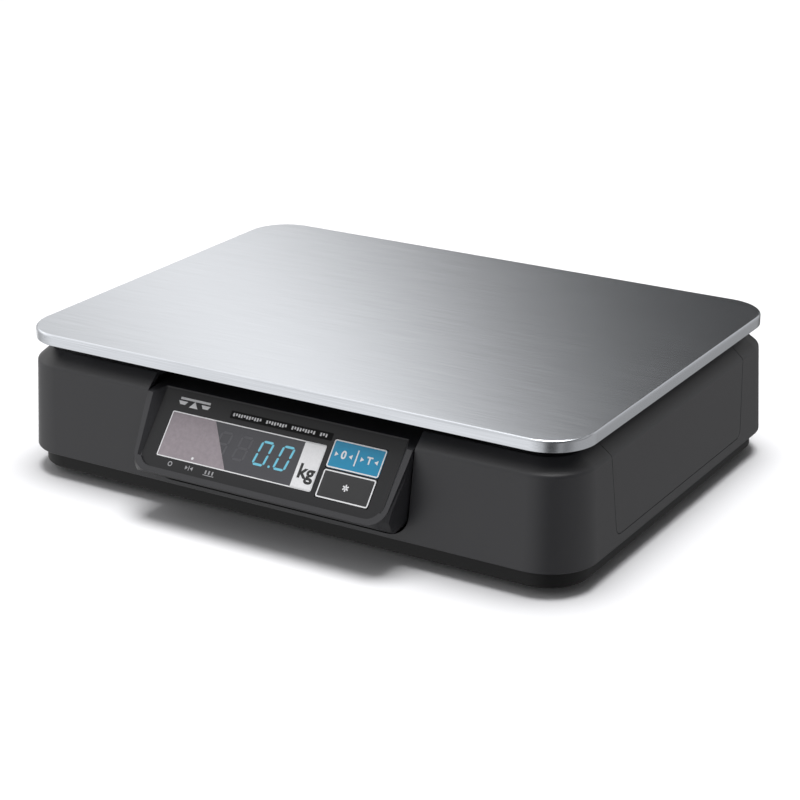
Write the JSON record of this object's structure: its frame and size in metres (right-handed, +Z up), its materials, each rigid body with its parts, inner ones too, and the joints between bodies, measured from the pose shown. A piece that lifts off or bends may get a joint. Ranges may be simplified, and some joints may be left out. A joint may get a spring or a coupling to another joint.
{
  "type": "bench weighing scale",
  "caption": "Flat counter scale with a brushed stainless tray, graphite plastic housing and a tilted display with membrane keys in the front wall.",
  "frame": {"origin": "on the floor, under the middle of the whole footprint, display housing included", "axes": "+X along the width to the user's right, +Y away from the user, +Z up"},
  "size_m": [0.3556, 0.2834, 0.085],
  "materials": {
    "black_abs": "fine moulded texture",
    "graphite_abs": "fine moulded texture, satin",
    "label_film": "polycarbonate film with a fine satin grain",
    "window_print": "clear window printed from behind, gloss",
    "lcd_glass": "laminated glass cell",
    "backlight_white": "diffuser, satin",
    "circuit_board": "solder mask",
    "black_parts": "moulded nylon",
    "blue_key": "printed keycap, satin gloss",
    "dark_key": "printed keycap, satin",
    "zinc_steel": "zinc plated",
    "cell_aluminium": "milled and clear anodised",
    "cast_aluminium": "pressure die cast",
    "rubber": "moulded, matt",
    "stainless": "fine straight brushed grain",
    "plated_steel": "nickel plated",
    "vial_acrylic": "clear acrylic over a green fluid",
    "brass": "turned"
  },
  "bodies": {
    "housing": {"base_housing": "black_abs", "top_housing": "graphite_abs", "side_cover_right": "graphite_abs", "side_cover_left": "graphite_abs", "display_bezel": "graphite_abs", "label_plate": "label_film", "display_window": "window_print", "lcd_panel": "lcd_glass", "lcd_backlight": "backlight_white", "display_board": "circuit_board", "key_switches": "black_parts", "bezel_screws": "zinc_steel", "load_cell": "cell_aluminium", "lower_spacer": "cell_aluminium", "lower_cell_screws": "zinc_steel", "overload_stops": "zinc_steel", "main_board": "circuit_board", "board_screws": "zinc_steel", "port_panel": "black_abs", "power_jack": "black_parts", "serial_port": "plated_steel", "switch_frame": "black_parts", "case_screws": "zinc_steel", "seal_cover": "black_abs", "seal_screws": "zinc_steel", "level_holder": "black_parts", "level_vial": "vial_acrylic", "foot_inserts": "brass"},
    "carrier": {"carrier": "cast_aluminium", "post_pads": "rubber", "upper_spacer": "cell_aluminium", "upper_cell_screws": "zinc_steel"},
    "tray": {"tray": "stainless"},
    "zero_tare_key": {"zero_tare_key": "blue_key"},
    "function_key": {"function_key": "dark_key"},
    "power_rocker": {"power_rocker": "black_parts"},
    "foot_front_left": {"foot_stud_front_left": "zinc_steel"},
    "wheel_front_left": {"foot_wheel_front_left": "black_abs", "foot_pad_front_left": "rubber"},
    "foot_front_right": {"foot_stud_front_right": "zinc_steel"},
    "wheel_front_right": {"foot_wheel_front_right": "black_abs", "foot_pad_front_right": "rubber"},
    "foot_rear_left": {"foot_stud_rear_left": "zinc_steel"},
    "wheel_rear_left": {"foot_wheel_rear_left": "black_abs", "foot_pad_rear_left": "rubber"},
    "foot_rear_right": {"foot_stud_rear_right": "zinc_steel"},
    "wheel_rear_right": {"foot_wheel_rear_right": "black_abs", "foot_pad_rear_right": "rubber"}
  },
  "joints": [
    {"name": "weighing_travel", "type": "slide", "parent": "housing", "child": "carrier", "axis": [0, 0, -1], "range_m": [0, 0.0004], "stiffness_N_per_m": 147000, "springref_m": -0.0001, "deforming": ["load_cell"]},
    {"name": "tray_lift", "type": "slide", "parent": "carrier", "child": "tray", "axis": [0, 0, 1], "range_m": [0, 0.06]},
    {"name": "zero_tare_press", "type": "slide", "parent": "housing", "child": "zero_tare_key", "axis": [0, 0.766, -0.6428], "range_m": [0, 0.0004], "stiffness_N_per_m": 1000, "springref_m": -0.0005},
    {"name": "function_press", "type": "slide", "parent": "housing", "child": "function_key", "axis": [0, 0.766, -0.6428], "range_m": [0, 0.0004], "stiffness_N_per_m": 1000, "springref_m": -0.0005},
    {"name": "power_switch", "type": "hinge", "parent": "housing", "child": "power_rocker", "pos_m": [-0.051, 0.12665, 0.0331], "axis": [1, 0, 0], "range_deg": [-24, 0]},
    {"name": "foot_travel_front_left", "type": "slide", "parent": "housing", "child": "foot_front_left", "axis": [0, 0, -1], "range_m": [0, 0.005]},
    {"name": "foot_turn_front_left", "type": "hinge", "parent": "foot_front_left", "child": "wheel_front_left", "pos_m": [-0.135, -0.09305, 0.0025], "axis": [0, 0, -1], "range_deg": [0, 1440]},
    {"name": "foot_travel_front_right", "type": "slide", "parent": "housing", "child": "foot_front_right", "axis": [0, 0, -1], "range_m": [0, 0.005]},
    {"name": "foot_turn_front_right", "type": "hinge", "parent": "foot_front_right", "child": "wheel_front_right", "pos_m": [0.135, -0.09305, 0.0025], "axis": [0, 0, -1], "range_deg": [0, 1440]},
    {"name": "foot_travel_rear_left", "type": "slide", "parent": "housing", "child": "foot_rear_left", "axis": [0, 0, -1], "range_m": [0, 0.005]},
    {"name": "foot_turn_rear_left", "type": "hinge", "parent": "foot_rear_left", "child": "wheel_rear_left", "pos_m": [-0.135, 0.11495, 0.0025], "axis": [0, 0, -1], "range_deg": [0, 1440]},
    {"name": "foot_travel_rear_right", "type": "slide", "parent": "housing", "child": "foot_rear_right", "axis": [0, 0, -1], "range_m": [0, 0.005]},
    {"name": "foot_turn_rear_right", "type": "hinge", "parent": "foot_rear_right", "child": "wheel_rear_right", "pos_m": [0.135, 0.11495, 0.0025], "axis": [0, 0, -1], "range_deg": [0, 1440]}
  ],
  "couplings": [
    {"joint": "foot_travel_front_left", "follows": "foot_turn_front_left", "m_per_rad": 0.00019894},
    {"joint": "foot_travel_front_right", "follows": "foot_turn_front_right", "m_per_rad": 0.00019894},
    {"joint": "foot_travel_rear_left", "follows": "foot_turn_rear_left", "m_per_rad": 0.00019894},
    {"joint": "foot_travel_rear_right", "follows": "foot_turn_rear_right", "m_per_rad": 0.00019894}
  ]
}
